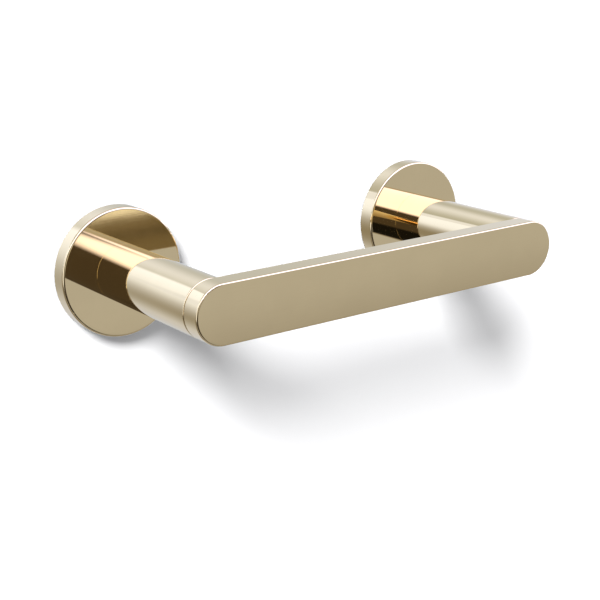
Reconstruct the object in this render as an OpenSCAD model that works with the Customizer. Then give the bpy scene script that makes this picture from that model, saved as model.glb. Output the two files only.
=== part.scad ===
// Wall-mounted toilet paper holder: two round posts on round covers carry a flat bar.
// The bar turns on the left post and lifts off the rest pin of the right post, so a roll slides on.
// +X is to the right, +Y points into the wall, +Z is up. The wall is the plane y = 0.

/* [Overall] */
// Distance between the centres of the two posts
post_centres = 164; // [150:1:220]
// Distance from the wall to the front face of the bar
reach = 87; // [80:1:110]
// How far the bar lifts, in degrees
swing = 100; // [70:1:110]

/* [Covers] */
// Diameter of each round wall cover
cover_d = 56.6; // [56:0.2:70]
// Thickness of each wall cover
cover_t = 8; // [6.6:0.1:9]
// Radius of the rounded front edge of a cover
cover_edge_r = 1; // [0.4:0.1:1.5]
// Vertical distance between the two wall screws of one plate
screw_pitch = 37; // [36:1:37]
// Diameter of a wall screw hole
screw_hole_d = 5; // [4:0.5:5]

/* [Posts] */
// Outer diameter of a post
post_d = 25; // [25:1:27]
// Wall thickness of a post tube
post_wall = 2; // [1.5:0.5:2]
// Gap between the end of a post and the back of the bar
parting = 0.4; // [0.3:0.05:0.6]
// Radius of the rounded front edge of a post
post_edge_r = 0.5; // [0.2:0.1:0.8]

/* [Bar] */
// Thickness of the bar from front to back
bar_t = 9.2; // [9:0.1:14]
// Radius of the rounded front edge of the bar
bar_edge_r = 0.8; // [0.3:0.1:1.5]
// Chamfer on the back edge of the bar
bar_back_chamfer = 0.3; // [0.1:0.1:0.6]

/* [Hidden] */
$fn = 96;

LEFT = -1;
RIGHT = 1;
eps = 1;             // overshoot of a cutting tool past the face it cuts
slip = 0.05;         // radial gap between parts that are pushed or screwed together
run = 0.04;          // gap between parts that turn against each other

cover_r = cover_d / 2;
post_r = post_d / 2;
tube_r = post_r - post_wall;
post_end = reach - bar_t - parting;
bar_back = reach - bar_t;

// wall plate, inside the cover
plate_t = 3.6;
plate_r = 24.5;
plate_bore_r = 12.5;
groove_depth = 1;
groove_at = 2;
groove_half = 1;
countersink_r = 4.8;
countersink_land = 1.2;

// hollow of the cover
cover_face_t = 2.8;
cover_depth = cover_t - cover_face_t;
cover_bore_r = 25;

// grub screw in the cover's rim
grub_r = 1.5;
grub_point_r = 0.3;
grub_recess = 0.1;
grub_socket_r = 0.9;
grub_socket_depth = 1.6;

// screw, lock washer and dowel between the cover and the post
bolt_r = 3;
bolt_head_r = 5.4;
bolt_head_t = 3.3;
bolt_socket_r = 2.3;
bolt_socket_depth = 1.8;
bolt_reach = 12;
washer_t = 0.8;
washer_r = 5.6;
dowel_r = 1.25;
dowel_offset = 7.5;
dowel_in_base = 4;
base_len = 14;
base_chamfer = 0.5;
post_seam_chamfer = 0.08;

// pivot in the left post
housing_len = 24;
bush_r = 6;
bush_len = 8;
bush_flange_r = 6.6;
bush_flange_t = 1;
spindle_r = 4;
thread_r = 3;
thread_in_bar = 6;
spring_t = 0.8;
spring_r = 6.4;
retainer_t = 1;
retainer_r = 7;
nut_t = 5;
nut_r = 5.77;
thread_past_nut = 2;
spindle_chamfer = 0.5;

// stop pin, in a curved groove in the back of the bar
stop_r = 1.2;
stop_radius = 8.4;
stop_in_housing = 7;
stop_in_bar = 2.6;
groove_r = 1.4;
bar_groove_depth = 3;
stop_start = 90 + swing / 2;

// rest pin, sleeve and the slot that drops over them
rest_plug_len = 18;
rest_thread_in_plug = 12;
rest_core_r = 2.5;
rest_shoulder_r = 3;
rest_head_r = 3.4;
rest_head_t = 0.8;
sleeve_r = 4;
sleeve_len = 4.8;
slot_half_w = 4.7;
slot_depth = 6.4;

// ---- placing and shared shapes ----

// Puts a shape that is drawn around its own axis, with z measured from the wall, on one post.
module on_post(side) {
    translate([side * post_centres / 2, 0, 0])
        rotate([90, 0, 0])
            children();
}

// A straight turned piece between two distances from the wall.
module disc(r, from, to) {
    translate([0, 0, from])
        cylinder(r = r, h = to - from);
}

// A plain ring between two distances from the wall.
module ring(r_out, r_in, from, to) {
    difference() {
        disc(r_out, from, to);
        disc(r_in, from - eps, to + eps);
    }
}

// Half outline of a turned piece with one rounded edge at the far end and a chamfer at the near end.
module rounded_outline(r, from, to, edge_r, near_chamfer) {
    polygon([
        [0, from], [r - near_chamfer, from], [r, from + near_chamfer],
        [r, to - edge_r], [r - edge_r, to], [0, to]
    ]);
    translate([r - edge_r, to - edge_r])
        circle(r = edge_r);
}

// Half outline of a turned piece with a chamfer at both ends.
module chamfered_outline(r, from, to, chamfer) {
    polygon([
        [0, from], [r - chamfer, from], [r, from + chamfer],
        [r, to - chamfer], [r - chamfer, to], [0, to]
    ]);
}

// ---- wall plates and covers ----

module wall_plate(side) {
    color("silver")
        on_post(side)
            difference() {
                rotate_extrude()
                    polygon([
                        [plate_bore_r, 0], [plate_r, 0], [plate_r, groove_at - groove_half],
                        [plate_r - groove_depth, groove_at], [plate_r, groove_at + groove_half],
                        [plate_r, plate_t], [plate_bore_r, plate_t]
                    ]);
                for (end = [-1, 1])
                    translate([0, end * screw_pitch / 2, 0]) {
                        disc(screw_hole_d / 2, -eps, plate_t + eps);
                        translate([0, 0, countersink_land])
                            cylinder(
                                r1 = screw_hole_d / 2,
                                r2 = countersink_r + eps,
                                h = (plate_t - countersink_land) * (1 + eps / (countersink_r - screw_hole_d / 2))
                            );
                    }
            }
}

module cover(side) {
    color("darkkhaki")
        on_post(side)
            difference() {
                rotate_extrude()
                    rounded_outline(cover_r, 0, cover_t, cover_edge_r, 0.2);
                disc(cover_bore_r, -eps, cover_depth);
                disc(bolt_r + slip, 0, cover_t + eps);
                translate([0, dowel_offset, 0])
                    disc(dowel_r + slip, 0, cover_t + eps);
                grub_hole(grub_r + slip);
            }
}

// Radial hole at the bottom of a cover's rim.
module grub_hole(r) {
    translate([0, -cover_bore_r + eps, groove_at])
        rotate([90, 0, 0])
            cylinder(r = r, h = cover_r - cover_bore_r + 2 * eps);
}

// Cone-point grub screws: the point sits in the groove of the wall plate.
module cover_grub_screws() {
    point_at = plate_r - groove_depth + grub_point_r + 2 * slip;
    point_len = grub_r - grub_point_r;
    len = cover_r - grub_recess - point_at;
    color("dimgray")
        for (side = [LEFT, RIGHT])
            on_post(side)
                translate([0, -point_at, groove_at])
                    rotate([90, 0, 0])
                        difference() {
                            union() {
                                cylinder(r1 = grub_point_r, r2 = grub_r, h = point_len);
                                disc(grub_r, point_len, len);
                            }
                            translate([0, 0, len - grub_socket_depth])
                                cylinder(r = grub_socket_r, h = grub_socket_depth + eps, $fn = 6);
                        }
}

// ---- posts and what clamps them to the covers ----

module post(side) {
    color("khaki")
        on_post(side)
            difference() {
                rotate_extrude()
                    rounded_outline(post_r, cover_t, post_end, post_edge_r, post_seam_chamfer);
                disc(tube_r, 0, reach);
            }
}

module post_base(side) {
    color("goldenrod")
        on_post(side)
            difference() {
                rotate_extrude()
                    chamfered_outline(tube_r - slip, cover_t, cover_t + base_len, base_chamfer);
                disc(bolt_r + slip, 0, cover_t + base_len + eps);
                translate([0, dowel_offset, 0])
                    disc(dowel_r + slip, 0, cover_t + dowel_in_base + slip);
            }
}

module post_screws() {
    head_top = cover_depth - washer_t;
    color("gray")
        for (side = [LEFT, RIGHT])
            on_post(side)
                difference() {
                    union() {
                        disc(bolt_head_r, head_top - bolt_head_t, head_top);
                        disc(bolt_r, head_top, cover_t + bolt_reach);
                    }
                    translate([0, 0, head_top - bolt_head_t - eps])
                        cylinder(r = bolt_socket_r, h = bolt_socket_depth + eps, $fn = 6);
                }
}

module lock_washers() {
    color("lightgray")
        for (side = [LEFT, RIGHT])
            on_post(side)
                ring(washer_r, bolt_r + slip, cover_depth - washer_t, cover_depth);
}

module dowel_pins() {
    color("lightgray")
        for (side = [LEFT, RIGHT])
            on_post(side)
                translate([0, dowel_offset, 0])
                    disc(dowel_r, cover_depth, cover_t + dowel_in_base);
}

// ---- pivot in the left post ----

module pivot_housing() {
    from = post_end - housing_len;
    color("goldenrod")
        on_post(LEFT)
            difference() {
                disc(tube_r - slip, from, post_end);
                disc(bush_r + slip, from - eps, post_end + eps);
                disc(bush_flange_r + slip, from - eps, from + bush_flange_t);
                disc(bush_flange_r + slip, post_end - bush_flange_t, post_end + eps);
                stop_place()
                    disc(stop_r + slip, post_end - stop_in_housing, post_end + eps);
            }
}

module bush(flange_at, sleeve_from) {
    color("ivory")
        on_post(LEFT)
            difference() {
                union() {
                    disc(bush_flange_r, flange_at, flange_at + bush_flange_t);
                    disc(bush_r, sleeve_from, sleeve_from + bush_len);
                }
                disc(spindle_r + run, 0, reach);
            }
}

module pivot_bush_front() {
    bush(post_end - bush_flange_t, post_end - bush_len);
}

module pivot_bush_rear() {
    bush(post_end - housing_len, post_end - housing_len);
}

module thrust_washer() {
    color("black")
        on_post(LEFT)
            ring(bush_flange_r, spindle_r + run, post_end, bar_back - run);
}

// Shoulder that the retaining washer is clamped against.
shoulder_at = post_end - housing_len - run - spring_t;

module pivot_spindle() {
    tail = shoulder_at - retainer_t - nut_t - thread_past_nut;
    color("slategray")
        on_post(LEFT)
            rotate_extrude()
                polygon([
                    [0, tail], [thread_r - spindle_chamfer, tail], [thread_r, tail + spindle_chamfer],
                    [thread_r, shoulder_at], [spindle_r, shoulder_at], [spindle_r, bar_back],
                    [thread_r, bar_back], [thread_r, bar_back + thread_in_bar - spindle_chamfer],
                    [thread_r - spindle_chamfer, bar_back + thread_in_bar], [0, bar_back + thread_in_bar]
                ]);
}

module spring_washer() {
    color("lightsteelblue")
        on_post(LEFT)
            ring(spring_r, spindle_r + run, shoulder_at, shoulder_at + spring_t);
}

module retaining_washer() {
    color("lightgray")
        on_post(LEFT)
            ring(retainer_r, thread_r + slip, shoulder_at - retainer_t, shoulder_at);
}

module lock_nut() {
    color("gray")
        on_post(LEFT)
            difference() {
                translate([0, 0, shoulder_at - retainer_t - nut_t])
                    cylinder(r = nut_r, h = nut_t, $fn = 6);
                disc(thread_r + slip, 0, reach);
            }
}

// The stop pin's place around the pivot.
module stop_place() {
    rotate([0, 0, stop_start])
        translate([stop_radius, 0, 0])
            children();
}

module stop_pin() {
    color("gray")
        on_post(LEFT)
            stop_place()
                disc(stop_r, post_end - stop_in_housing, bar_back + stop_in_bar);
}

// ---- rest in the right post ----

module rest_plug() {
    color("goldenrod")
        on_post(RIGHT)
            difference() {
                disc(tube_r - slip, post_end - rest_plug_len, post_end);
                disc(rest_shoulder_r + slip, post_end - rest_thread_in_plug - slip, post_end + eps);
            }
}

module rest_pin() {
    sleeve_end = post_end + slip + sleeve_len + slip;
    color("slategray")
        on_post(RIGHT) {
            disc(rest_shoulder_r, post_end - rest_thread_in_plug, post_end);
            disc(rest_core_r, post_end, sleeve_end);
            disc(rest_head_r, sleeve_end, sleeve_end + rest_head_t);
        }
}

module rest_sleeve() {
    color("black")
        on_post(RIGHT)
            ring(sleeve_r, rest_core_r + slip, post_end + slip, post_end + slip + sleeve_len);
}

// ---- bar ----

module bar() {
    color("tan")
        difference() {
            bar_blank();
            on_post(LEFT) {
                disc(thread_r + slip, bar_back - eps, bar_back + thread_in_bar + slip);
                stop_groove();
            }
            on_post(RIGHT)
                rest_slot();
        }
}

// Flat bar with round ends, made of a straight middle and two turned ends.
module bar_blank() {
    on_post(LEFT)
        rotate([0, 0, 90])
            rotate_extrude(angle = 180)
                bar_outline();
    on_post(RIGHT)
        rotate([0, 0, -90])
            rotate_extrude(angle = 180)
                bar_outline();
    on_post(LEFT)
        rotate([90, 0, 90])
            linear_extrude(post_centres) {
                bar_outline();
                mirror([1, 0])
                    bar_outline();
            }
}

module bar_outline() {
    rounded_outline(post_r, bar_back, reach, bar_edge_r, bar_back_chamfer);
}

// Curved groove around the pivot: the stop pin meets its ends at rest and at full lift.
module stop_groove() {
    for (a = [stop_start, stop_start - swing])
        rotate([0, 0, a])
            translate([stop_radius, 0, 0])
                disc(groove_r, bar_back - eps, bar_back + bar_groove_depth);
    rotate([0, 0, stop_start - swing])
        rotate_extrude(angle = swing)
            translate([stop_radius - groove_r, bar_back - eps])
                square([2 * groove_r, bar_groove_depth + eps]);
}

// Slot open at the lower edge of the bar: its closed end rests on the sleeve.
module rest_slot() {
    translate([-slot_half_w, -post_r - eps, bar_back - eps])
        cube([2 * slot_half_w, post_r + eps + sleeve_r + slip, slot_depth + eps]);
}

// ---- one line per node ----

wall_plate(LEFT);  // wall_plate_left
wall_plate(RIGHT);  // wall_plate_right
cover(LEFT);  // cover_left
cover(RIGHT);  // cover_right
cover_grub_screws();
post(LEFT);  // post_left
post(RIGHT);  // post_right
post_base(LEFT);  // post_base_left
post_base(RIGHT);  // post_base_right
post_screws();
lock_washers();
dowel_pins();
pivot_housing();
pivot_bush_front();
pivot_bush_rear();
thrust_washer();
pivot_spindle();
spring_washer();
retaining_washer();
lock_nut();
stop_pin();
rest_plug();
rest_pin();
rest_sleeve();
bar();
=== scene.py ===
import math

import bmesh
import bpy
from mathutils import Matrix, Vector

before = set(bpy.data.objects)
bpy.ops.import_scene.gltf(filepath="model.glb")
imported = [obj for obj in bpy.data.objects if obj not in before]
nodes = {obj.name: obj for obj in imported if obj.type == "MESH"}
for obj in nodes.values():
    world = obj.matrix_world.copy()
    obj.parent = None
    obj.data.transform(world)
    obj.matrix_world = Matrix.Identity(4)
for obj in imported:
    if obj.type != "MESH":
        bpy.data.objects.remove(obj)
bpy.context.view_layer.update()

scene = bpy.context.scene

# ---------------------------------------------------------------- the part's own sizes, in metres

MM = 0.001
POST_X = 0.082             # each post's distance from the middle of the bar
COVER_FACE_Y = -8.0 * MM
POST_END_Y = -77.4 * MM
BAR_FACE_Y = -87.0 * MM
COVER_RIM_R = 27.6 * MM    # the edges are worn outside these radii
POST_RIM_R = 12.3 * MM

# ---------------------------------------------------------------- camera

CAMERA_PLACE = (-0.3319049, -0.4804149, 0.1417914)
CAMERA_YAW = -0.62744      # angles in radians
CAMERA_PITCH = -0.28488
CAMERA_ROLL = -0.01328
FOCAL_PX = 1285.499
FRAME_PX = 600
SENSOR_MM = 36.0
CLIP_START = 0.01
CLIP_END = 50.0


def make_camera():
    forward = Vector((
        -math.sin(CAMERA_YAW) * math.cos(CAMERA_PITCH),
        math.cos(CAMERA_YAW) * math.cos(CAMERA_PITCH),
        math.sin(CAMERA_PITCH),
    ))
    level = Vector((math.cos(CAMERA_YAW), math.sin(CAMERA_YAW), 0.0))
    above = level.cross(forward)
    right = level * math.cos(CAMERA_ROLL) + above * math.sin(CAMERA_ROLL)
    up = above * math.cos(CAMERA_ROLL) - level * math.sin(CAMERA_ROLL)
    data = bpy.data.cameras.new("Camera")
    data.sensor_width = SENSOR_MM
    data.lens = FOCAL_PX * SENSOR_MM / FRAME_PX
    data.clip_start = CLIP_START
    data.clip_end = CLIP_END
    camera = bpy.data.objects.new("Camera", data)
    turn = Matrix((right, up, -forward)).transposed()
    camera.matrix_world = Matrix.Translation(CAMERA_PLACE) @ turn.to_4x4()
    scene.collection.objects.link(camera)
    scene.camera = camera


# ---------------------------------------------------------------- shader helpers


class Tree:
    """Short calls for building a node tree."""

    def __init__(self, tree):
        self.tree = tree
        tree.nodes.clear()

    def node(self, kind, **settings):
        made = self.tree.nodes.new(kind)
        for key, value in settings.items():
            setattr(made, key, value)
        return made

    def set(self, socket, value):
        if isinstance(value, bpy.types.NodeSocket):
            self.tree.links.new(value, socket)
        else:
            socket.default_value = value

    def math(self, operation, *values):
        made = self.node("ShaderNodeMath", operation=operation)
        for socket, value in zip(made.inputs, values):
            self.set(socket, value)
        return made.outputs[0]

    def add(self, a, b):
        return self.math("ADD", a, b)

    def subtract(self, a, b):
        return self.math("SUBTRACT", a, b)

    def times(self, a, b):
        return self.math("MULTIPLY", a, b)

    def absolute(self, value):
        return self.math("ABSOLUTE", value)

    def ramp(self, value, low, high, out_low=0.0, out_high=1.0):
        """Smooth step of value from low to high."""
        made = self.node("ShaderNodeMapRange", interpolation_type="SMOOTHSTEP")
        for socket, v in zip(made.inputs, (value, low, high, out_low, out_high)):
            self.set(socket, v)
        return made.outputs[0]

    def fall(self, value, low, high):
        """Smooth step down from 1 to 0."""
        return self.ramp(value, low, high, 1.0, 0.0)

    def mix_color(self, factor, a, b):
        made = self.node("ShaderNodeMix", data_type="RGBA")
        self.set(made.inputs[0], factor)
        for socket, value in ((made.inputs[6], a), (made.inputs[7], b)):
            linked = isinstance(value, bpy.types.NodeSocket)
            self.set(socket, value if linked else (*value, 1.0))
        return made.outputs[2]

    def mix_shader(self, factor, a, b):
        made = self.node("ShaderNodeMixShader")
        for socket, value in zip(made.inputs, (factor, a, b)):
            self.set(socket, value)
        return made.outputs[0]

    def shader(self, kind, color=None):
        """A plain shader, in one colour or in the colour of a socket."""
        made = self.node(kind)
        if color is not None:
            linked = isinstance(color, bpy.types.NodeSocket)
            self.set(made.inputs["Color"], color if linked else (*color, 1.0))
        return made.outputs[0]

    def output(self, kind, surface):
        self.set(self.node(kind).inputs["Surface"], surface)

    def axes(self, vector):
        made = self.node("ShaderNodeSeparateXYZ")
        self.set(made.inputs[0], vector)
        return made.outputs

    def stretched(self, place, scale):
        made = self.node("ShaderNodeMapping")
        self.set(made.inputs["Vector"], place)
        self.set(made.inputs["Scale"], scale)
        return made.outputs[0]

    def noise(self, place, scale, detail):
        made = self.node("ShaderNodeTexNoise")
        self.set(made.inputs["Vector"], place)
        self.set(made.inputs["Scale"], scale)
        self.set(made.inputs["Detail"], detail)
        return made.outputs[0]

    def bump(self, height, strength, distance, normal=None):
        made = self.node("ShaderNodeBump")
        self.set(made.inputs["Height"], height)
        self.set(made.inputs["Strength"], strength)
        self.set(made.inputs["Distance"], distance)
        if normal is not None:
            self.set(made.inputs["Normal"], normal)
        return made.outputs[0]


# ---------------------------------------------------------------- surroundings

SKY = (1.0, 1.0, 1.0)      # what the camera sees past the wall
BASE_FRONT = (0.072, 0.060, 0.047)
BASE_BACK = (0.53, 0.56, 0.57)
HORIZON = 0.30             # front and back blend where |y| of the direction is below this
LEAST_DEPTH = 0.40         # and the slopes take |y| as no less than this

# Dark gap level with the wall plane, below and to the sides: where it ends in depth, height and to the right.
GAP = (0.12, 0.10, 0.08)
GAP_DEPTH = (0.08, 0.22)
GAP_TOP = (0.2, 0.45)
GAP_RIGHT = (0.5, 0.8)

FRONT = "front"            # in front of the wall plane
BACK = "back"              # behind it
OPEN = None                # a card goes on for ever on this side

# Cards of light around the holder. Each has the side it is on, then where its left, right, lower and
# upper edge begins and ends, as the slopes x/|y| and z/|y| of the direction it is seen in, and then
# its colour. A later card lies over an earlier one.
CARDS = (
    # grey flat to the right, darker towards the floor, with black under the left part
    (FRONT, (0.41, 0.45), OPEN, OPEN, OPEN, (0.50, 0.50, 0.50)),
    (FRONT, (0.41, 0.45), OPEN, OPEN, (-0.42, -0.34), (0.38, 0.37, 0.355)),
    (FRONT, (-1.0, -0.8), (0.40, 0.80), OPEN, (-0.71, -0.59), (0.01, 0.01, 0.01)),
    # soft card straight ahead of the wall
    (FRONT, (-0.42, -0.15), (0.05, 0.36), (-0.30, -0.10), (0.12, 0.38), (0.66, 0.63, 0.57)),
    # large softbox above the front
    (FRONT, OPEN, OPEN, (0.42, 0.58), OPEN, (1.90, 1.95, 2.90)),
    (FRONT, (0.33, 0.43), OPEN, (0.31, 0.43), OPEN, (1.90, 1.92, 2.90)),
    # soft light from the right and from above
    (BACK, (0.46, 1.16), OPEN, (-1.70, -1.00), (0.00, 1.06), (0.85, 0.915, 1.10)),
    (BACK, (-0.57, 0.15), (0.12, 0.73), (0.01, 0.17), OPEN, (0.88, 0.955, 1.165)),
    # floor, and the darker corner to the left of it
    (BACK, OPEN, (0.17, 0.70), OPEN, (-0.92, 0.28), (0.67, 0.70, 0.80)),
    (BACK, OPEN, (-0.76, -0.09), OPEN, (0.00, 0.38), (0.295, 0.27, 0.215)),
    # bright card to the left
    (BACK, OPEN, (-0.245, -0.123), (-0.46, 0.74), (0.652, 0.668), (1.21, 1.34, 1.72)),
    (BACK, OPEN, (-0.583, -0.506), (0.25, 0.27), (0.91, 1.20), (0.94, 1.03, 1.30)),
    (BACK, OPEN, (-0.71, -0.69), (-0.14, 0.57), (1.10, 1.24), (1.12, 1.25, 1.62)),
    # dark flag to the right with a strip light over it, seen in the left cover by way of the bar
    (BACK, (0.42, 0.47), (0.62, 0.66), (-0.45, -0.30), (-0.2495, -0.2465), (0.20, 0.18, 0.14)),
    (BACK, (0.42, 0.47), (0.62, 0.66), (-0.2755, -0.2665), (-0.2665, -0.2575), (0.127, 0.113, 0.086)),
    (BACK, (0.42, 0.47), (0.62, 0.66), (-0.2495, -0.2465), (-0.20, -0.14), (1.12, 1.25, 1.62)),
    # beyond the floor, the left and the top, seen from the photo's side only in the rounded edges
    (FRONT, OPEN, OPEN, OPEN, (-1.4, -1.0), (0.42, 0.40, 0.38)),
    (FRONT, OPEN, (-1.4, -1.0), (-0.9, -0.5), OPEN, (1.40, 1.45, 1.60)),
    (BACK, OPEN, OPEN, (1.3, 1.8), OPEN, (0.48, 0.47, 0.47)),
)


def studio_light(t, direction):
    """Colour of the studio around the holder, by direction."""
    x, y, z = t.axes(direction)
    depth = t.math("MAXIMUM", t.absolute(y), LEAST_DEPTH)
    across = t.math("DIVIDE", x, depth)
    height = t.math("DIVIDE", z, depth)
    behind = t.ramp(y, -HORIZON, HORIZON)
    side_masks = {FRONT: t.subtract(1.0, behind), BACK: behind}
    color = t.mix_color(behind, BASE_FRONT, BASE_BACK)
    for side, left, right, low, high, tint in CARDS:
        mask = side_masks[side]
        for slope, begin, end in ((across, left, right), (height, low, high)):
            if begin is not OPEN:
                mask = t.times(mask, t.ramp(slope, *begin))
            if end is not OPEN:
                mask = t.times(mask, t.fall(slope, *end))
        color = t.mix_color(mask, color, tint)
    gap = t.times(t.fall(t.absolute(y), *GAP_DEPTH), t.fall(z, *GAP_TOP))
    gap = t.times(gap, t.fall(x, *GAP_RIGHT))
    return t.mix_color(gap, color, GAP)


def make_world():
    world = bpy.data.worlds.new("Studio")
    scene.world = world
    world.use_nodes = True
    t = Tree(world.node_tree)
    direction = t.node("ShaderNodeTexCoord").outputs["Generated"]
    light = t.shader("ShaderNodeBackground", studio_light(t, direction))
    plain = t.shader("ShaderNodeBackground", SKY)
    seen = t.node("ShaderNodeLightPath").outputs["Is Camera Ray"]
    t.output("ShaderNodeOutputWorld", t.mix_shader(seen, light, plain))
    world.cycles_visibility.diffuse = False


WALL_Y = 0.4 * MM
WALL_SIZE = 3.0            # from the middle to each side
WALL_HOLE_R = 27.8 * MM
WALL_HOLE_SIDES = 96
WALL_PAINT = (0.86, 0.86, 0.87)


def closed_edges(bm, points):
    """Edges around a closed outline in the plane of the wall, through the points (x, z)."""
    verts = [bm.verts.new((x, WALL_Y, z)) for x, z in points]
    return [bm.edges.new((a, b)) for a, b in zip(verts, verts[1:] + verts[:1])]


def wall_mesh():
    bm = bmesh.new()
    corners = ((-1, -1), (1, -1), (1, 1), (-1, 1))
    edges = closed_edges(bm, [(x * WALL_SIZE, z * WALL_SIZE) for x, z in corners])
    angles = [2 * math.pi * k / WALL_HOLE_SIDES for k in range(WALL_HOLE_SIDES)]
    for post_x in (-POST_X, POST_X):
        edges += closed_edges(bm, [
            (post_x + WALL_HOLE_R * math.cos(a), WALL_HOLE_R * math.sin(a)) for a in angles
        ])
    bmesh.ops.triangle_fill(bm, use_beauty=True, edges=edges)
    for face in bm.faces:
        if face.normal.y > 0:
            face.normal_flip()
    mesh = bpy.data.meshes.new("Wall")
    bm.to_mesh(mesh)
    bm.free()
    return mesh


def make_wall():
    """Plain pale wall, open behind each cover and clear from behind, so the part's back can be seen."""
    mesh = wall_mesh()
    wall = bpy.data.objects.new("Wall", mesh)
    scene.collection.objects.link(wall)
    material = bpy.data.materials.new("Wall")
    material.use_nodes = True
    t = Tree(material.node_tree)
    paint = t.shader("ShaderNodeBsdfDiffuse", WALL_PAINT)
    clear = t.shader("ShaderNodeBsdfTransparent")
    from_behind = t.node("ShaderNodeNewGeometry").outputs["Backfacing"]
    t.output("ShaderNodeOutputMaterial", t.mix_shader(from_behind, paint, clear))
    mesh.materials.append(material)
    wall.visible_glossy = False
    wall.visible_diffuse = False
    wall.visible_shadow = False


AIM = (0.0, 0.0, 0.0)
KEY_FROM = (-1.10, -1.0, 1.12)
KEY_ANGLE = math.radians(21.0)
KEY_STRENGTH = 5.9
FILL_FROM = (0.1, -4.0, 0.8)
FILL_SIZE = 5.0
FILL_POWER = 134.0


def add_light(kind, name, place, energy, **settings):
    data = bpy.data.lights.new(name, kind)
    data.energy = energy
    for key, value in settings.items():
        setattr(data, key, value)
    light = bpy.data.objects.new(name, data)
    light.location = place
    light.rotation_mode = "QUATERNION"
    light.rotation_quaternion = (Vector(AIM) - Vector(place)).to_track_quat("-Z", "Y")
    light.visible_glossy = False
    light.visible_camera = False
    scene.collection.objects.link(light)


def make_lights():
    """Lights for the wall and the plastic pieces. The metal mirrors only the cards."""
    add_light("SUN", "Key", KEY_FROM, KEY_STRENGTH, angle=KEY_ANGLE)
    add_light("AREA", "Fill", FILL_FROM, FILL_POWER, shape="SQUARE", size=FILL_SIZE)


# ---------------------------------------------------------------- materials

GOLD = (0.92, 0.76, 0.48)
GOLD_WORN = (0.86, 0.66, 0.36)
BRASS = (0.72, 0.53, 0.26)
BRASS_DARK = (0.60, 0.42, 0.19)
ZINC = (0.62, 0.62, 0.61)
ZINC_DARK = (0.51, 0.51, 0.50)
STEEL = (0.36, 0.37, 0.40)
STEEL_DARK = (0.26, 0.27, 0.30)
IVORY = (0.78, 0.75, 0.66)
IVORY_DARK = (0.68, 0.64, 0.54)
BLACK = (0.035, 0.035, 0.037)
BLACK_DARK = (0.018, 0.018, 0.020)

# Each noise is its scale, in features per metre, and its detail. The spans are where on the noise, which
# stays around 0.5, the change it makes begins and ends.
WIDE_SPAN = (0.30, 0.70)
SPAN = (0.35, 0.65)

EDGE_DEPTH = (0.2 * MM, 1.6 * MM)    # how far from an edge's plane the wear fades
EDGE_WIDTH = 1.2 * MM

GOLD_CLOUD = (55.0, 3.0)
GOLD_PATCHES = (900.0, 2.0)
GOLD_LINES = (1.0, 4.0)              # on top of the grain's own scale
GRAIN_AROUND_POST = (90.0, 6000.0, 90.0)
GRAIN_ALONG_BAR = (60.0, 3000.0, 3000.0)
GRAIN_ON_COVER = (2500.0, 2500.0, 60.0)
CLOUD_SHADE = 0.975
LINE_SHADE = 0.93
LINE_TINT = 0.12
LINE_ROUGH = 0.012
LINE_BUMP = (0.03, 0.02 * MM)        # strength and distance
GOLD_ROUGH = (0.020, 0.035)
WEAR_SPAN = (0.45, 0.62)
WEAR_TINT = 0.12
WEAR_ROUGH = 0.25

METAL_CLOUD = (180.0, 4.0)
METAL_CLOUD_SPAN = (0.32, 0.68)
METAL_CLOUD_BUMP = (0.1, 0.05 * MM)
METAL_SPECKS = (1400.0, 2.0)
SPECK_SPAN = (0.55, 0.72)
SPECK_TINT = 0.35
SPECK_ROUGH = 0.08
TURNING_WOBBLE = (300.0, 3.0)
TURNING_WOBBLE_SIZE = 0.3 * MM
TURNING_BUMP = (0.12, 0.02 * MM)

PLASTIC_CLOUD = (220.0, 3.0)
PLASTIC_GRAIN = (4000.0, 2.0)
PLASTIC_ROUGH_RANGE = 0.06
GRAIN_ROUGH = 0.05
GRAIN_BUMP = (0.15, 0.02 * MM)


def start_material(name, metallic):
    material = bpy.data.materials.new(name)
    material.use_nodes = True
    t = Tree(material.node_tree)
    bsdf = t.node("ShaderNodeBsdfPrincipled")
    t.output("ShaderNodeOutputMaterial", bsdf.outputs[0])
    t.set(bsdf.inputs["Metallic"], metallic)
    place = t.node("ShaderNodeTexCoord").outputs["Object"]
    return material, t, bsdf.inputs, place


def post_radius(t, x, z, straight=False):
    """Distance from the nearer post's axis, or from the line between the axes where straight."""
    along = t.subtract(t.absolute(x), POST_X)
    if straight:
        along = t.math("MAXIMUM", along, 0.0)
    return t.math("SQRT", t.add(t.times(along, along), t.times(z, z)))


def edge_mask(t, place, edge_y, rim_r, straight):
    """1 near the edge of a turned or long round shape: close to plane edge_y and out past rim_r."""
    x, y, z = t.axes(place)
    radius = post_radius(t, x, z, straight)
    near = t.fall(t.absolute(t.subtract(y, edge_y)), *EDGE_DEPTH)
    return t.times(near, t.ramp(radius, rim_r - EDGE_WIDTH, rim_r))


def shaded(color, shade):
    return tuple(shade * c for c in color)


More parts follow.
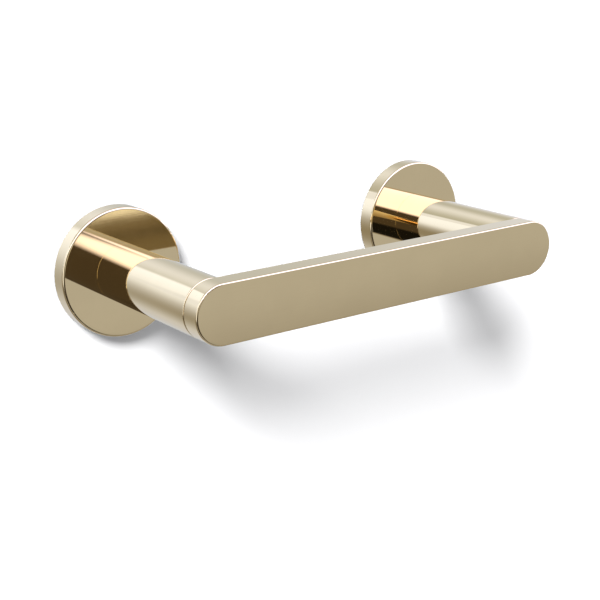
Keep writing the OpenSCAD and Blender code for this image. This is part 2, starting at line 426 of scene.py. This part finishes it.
def polished_gold(name, grain, edge_y, rim_r, straight=False):
    """Polished metal: fine lines along the grain, cloudy roughness and lightly worn edges."""
    material, t, inputs, place = start_material(name, 1.0)
    lines = t.noise(t.stretched(place, grain), *GOLD_LINES)
    cloud = t.noise(place, *GOLD_CLOUD)
    patches = t.noise(place, *GOLD_PATCHES)
    wear = t.times(edge_mask(t, place, edge_y, rim_r, straight), t.ramp(patches, *WEAR_SPAN))
    wear = t.times(wear, WEAR_TINT)
    tone = t.mix_color(t.ramp(cloud, *SPAN), shaded(GOLD, CLOUD_SHADE), GOLD)
    line_tint = t.times(t.ramp(lines, *SPAN), LINE_TINT)
    tone = t.mix_color(line_tint, tone, shaded(GOLD, LINE_SHADE))
    t.set(inputs["Base Color"], t.mix_color(wear, tone, GOLD_WORN))
    rough = t.ramp(cloud, *WIDE_SPAN, *GOLD_ROUGH)
    rough = t.add(rough, t.times(t.ramp(lines, *WIDE_SPAN), LINE_ROUGH))
    t.set(inputs["Roughness"], t.add(rough, t.times(wear, WEAR_ROUGH)))
    t.set(inputs["Normal"], t.bump(lines, *LINE_BUMP))
    return material


def turned_metal(name, color, dark, low, high, pitch):
    """Bare or plated metal: turning marks around the posts' axes, mottled tone, uneven roughness."""
    material, t, inputs, place = start_material(name, 1.0)
    x, y, z = t.axes(place)
    radius = post_radius(t, x, z)
    wobble = t.times(t.noise(place, *TURNING_WOBBLE), TURNING_WOBBLE_SIZE)
    turn = t.add(t.add(radius, y), wobble)
    marks = t.math("SINE", t.times(turn, 2 * math.pi / pitch))
    cloud = t.noise(place, *METAL_CLOUD)
    speck = t.ramp(t.noise(place, *METAL_SPECKS), *SPECK_SPAN)
    tone = t.mix_color(t.ramp(cloud, *METAL_CLOUD_SPAN), dark, color)
    t.set(inputs["Base Color"], t.mix_color(t.times(speck, SPECK_TINT), tone, dark))
    rough = t.ramp(cloud, *WIDE_SPAN, high, low)
    t.set(inputs["Roughness"], t.add(rough, t.times(speck, SPECK_ROUGH)))
    uneven = t.bump(cloud, *METAL_CLOUD_BUMP)
    t.set(inputs["Normal"], t.bump(marks, *TURNING_BUMP, uneven))
    return material


def moulded_plastic(name, color, dark, roughness):
    """Moulded plastic with a fine grain, slightly uneven in tone."""
    material, t, inputs, place = start_material(name, 0.0)
    cloud = t.noise(place, *PLASTIC_CLOUD)
    grain = t.noise(place, *PLASTIC_GRAIN)
    t.set(inputs["Base Color"], t.mix_color(t.ramp(cloud, *WIDE_SPAN), dark, color))
    least, most = roughness - PLASTIC_ROUGH_RANGE, roughness + PLASTIC_ROUGH_RANGE
    rough = t.ramp(cloud, *WIDE_SPAN, least, most)
    t.set(inputs["Roughness"], t.add(rough, t.times(grain, GRAIN_ROUGH)))
    t.set(inputs["Normal"], t.bump(grain, *GRAIN_BUMP))
    return material


def make_materials():
    """Each material with the pieces it is on."""
    return (
        (polished_gold("gold_bar", GRAIN_ALONG_BAR, BAR_FACE_Y, POST_RIM_R, straight=True),
         ("bar",)),
        (polished_gold("gold_post", GRAIN_AROUND_POST, POST_END_Y, POST_RIM_R),
         ("post_left", "post_right")),
        (polished_gold("gold_cover", GRAIN_ON_COVER, COVER_FACE_Y, COVER_RIM_R),
         ("cover_left", "cover_right")),
        (turned_metal("plain_brass", BRASS, BRASS_DARK, low=0.22, high=0.34, pitch=0.30 * MM),
         ("post_base_left", "post_base_right", "pivot_housing", "rest_plug")),
        (turned_metal("zinc_steel", ZINC, ZINC_DARK, low=0.30, high=0.42, pitch=0.50 * MM),
         ("wall_plate_left", "wall_plate_right", "post_screws", "lock_washers", "retaining_washer",
          "lock_nut")),
        (turned_metal("hard_steel", STEEL, STEEL_DARK, low=0.20, high=0.30, pitch=0.20 * MM),
         ("cover_grub_screws", "dowel_pins", "pivot_spindle", "spring_washer", "stop_pin",
          "rest_pin")),
        (moulded_plastic("bush_polymer", IVORY, IVORY_DARK, roughness=0.45),
         ("pivot_bush_front", "pivot_bush_rear")),
        (moulded_plastic("black_polymer", BLACK, BLACK_DARK, roughness=0.42),
         ("thrust_washer", "rest_sleeve")),
    )


# ---------------------------------------------------------------- putting it together

make_camera()
make_world()
make_wall()
make_lights()
for material, names in make_materials():
    for name in names:
        mesh = nodes[name].data
        mesh.materials.clear()
        mesh.materials.append(material)

scene.view_settings.view_transform = "Standard"
scene.view_settings.look = "None"
scene.cycles.caustics_reflective = False
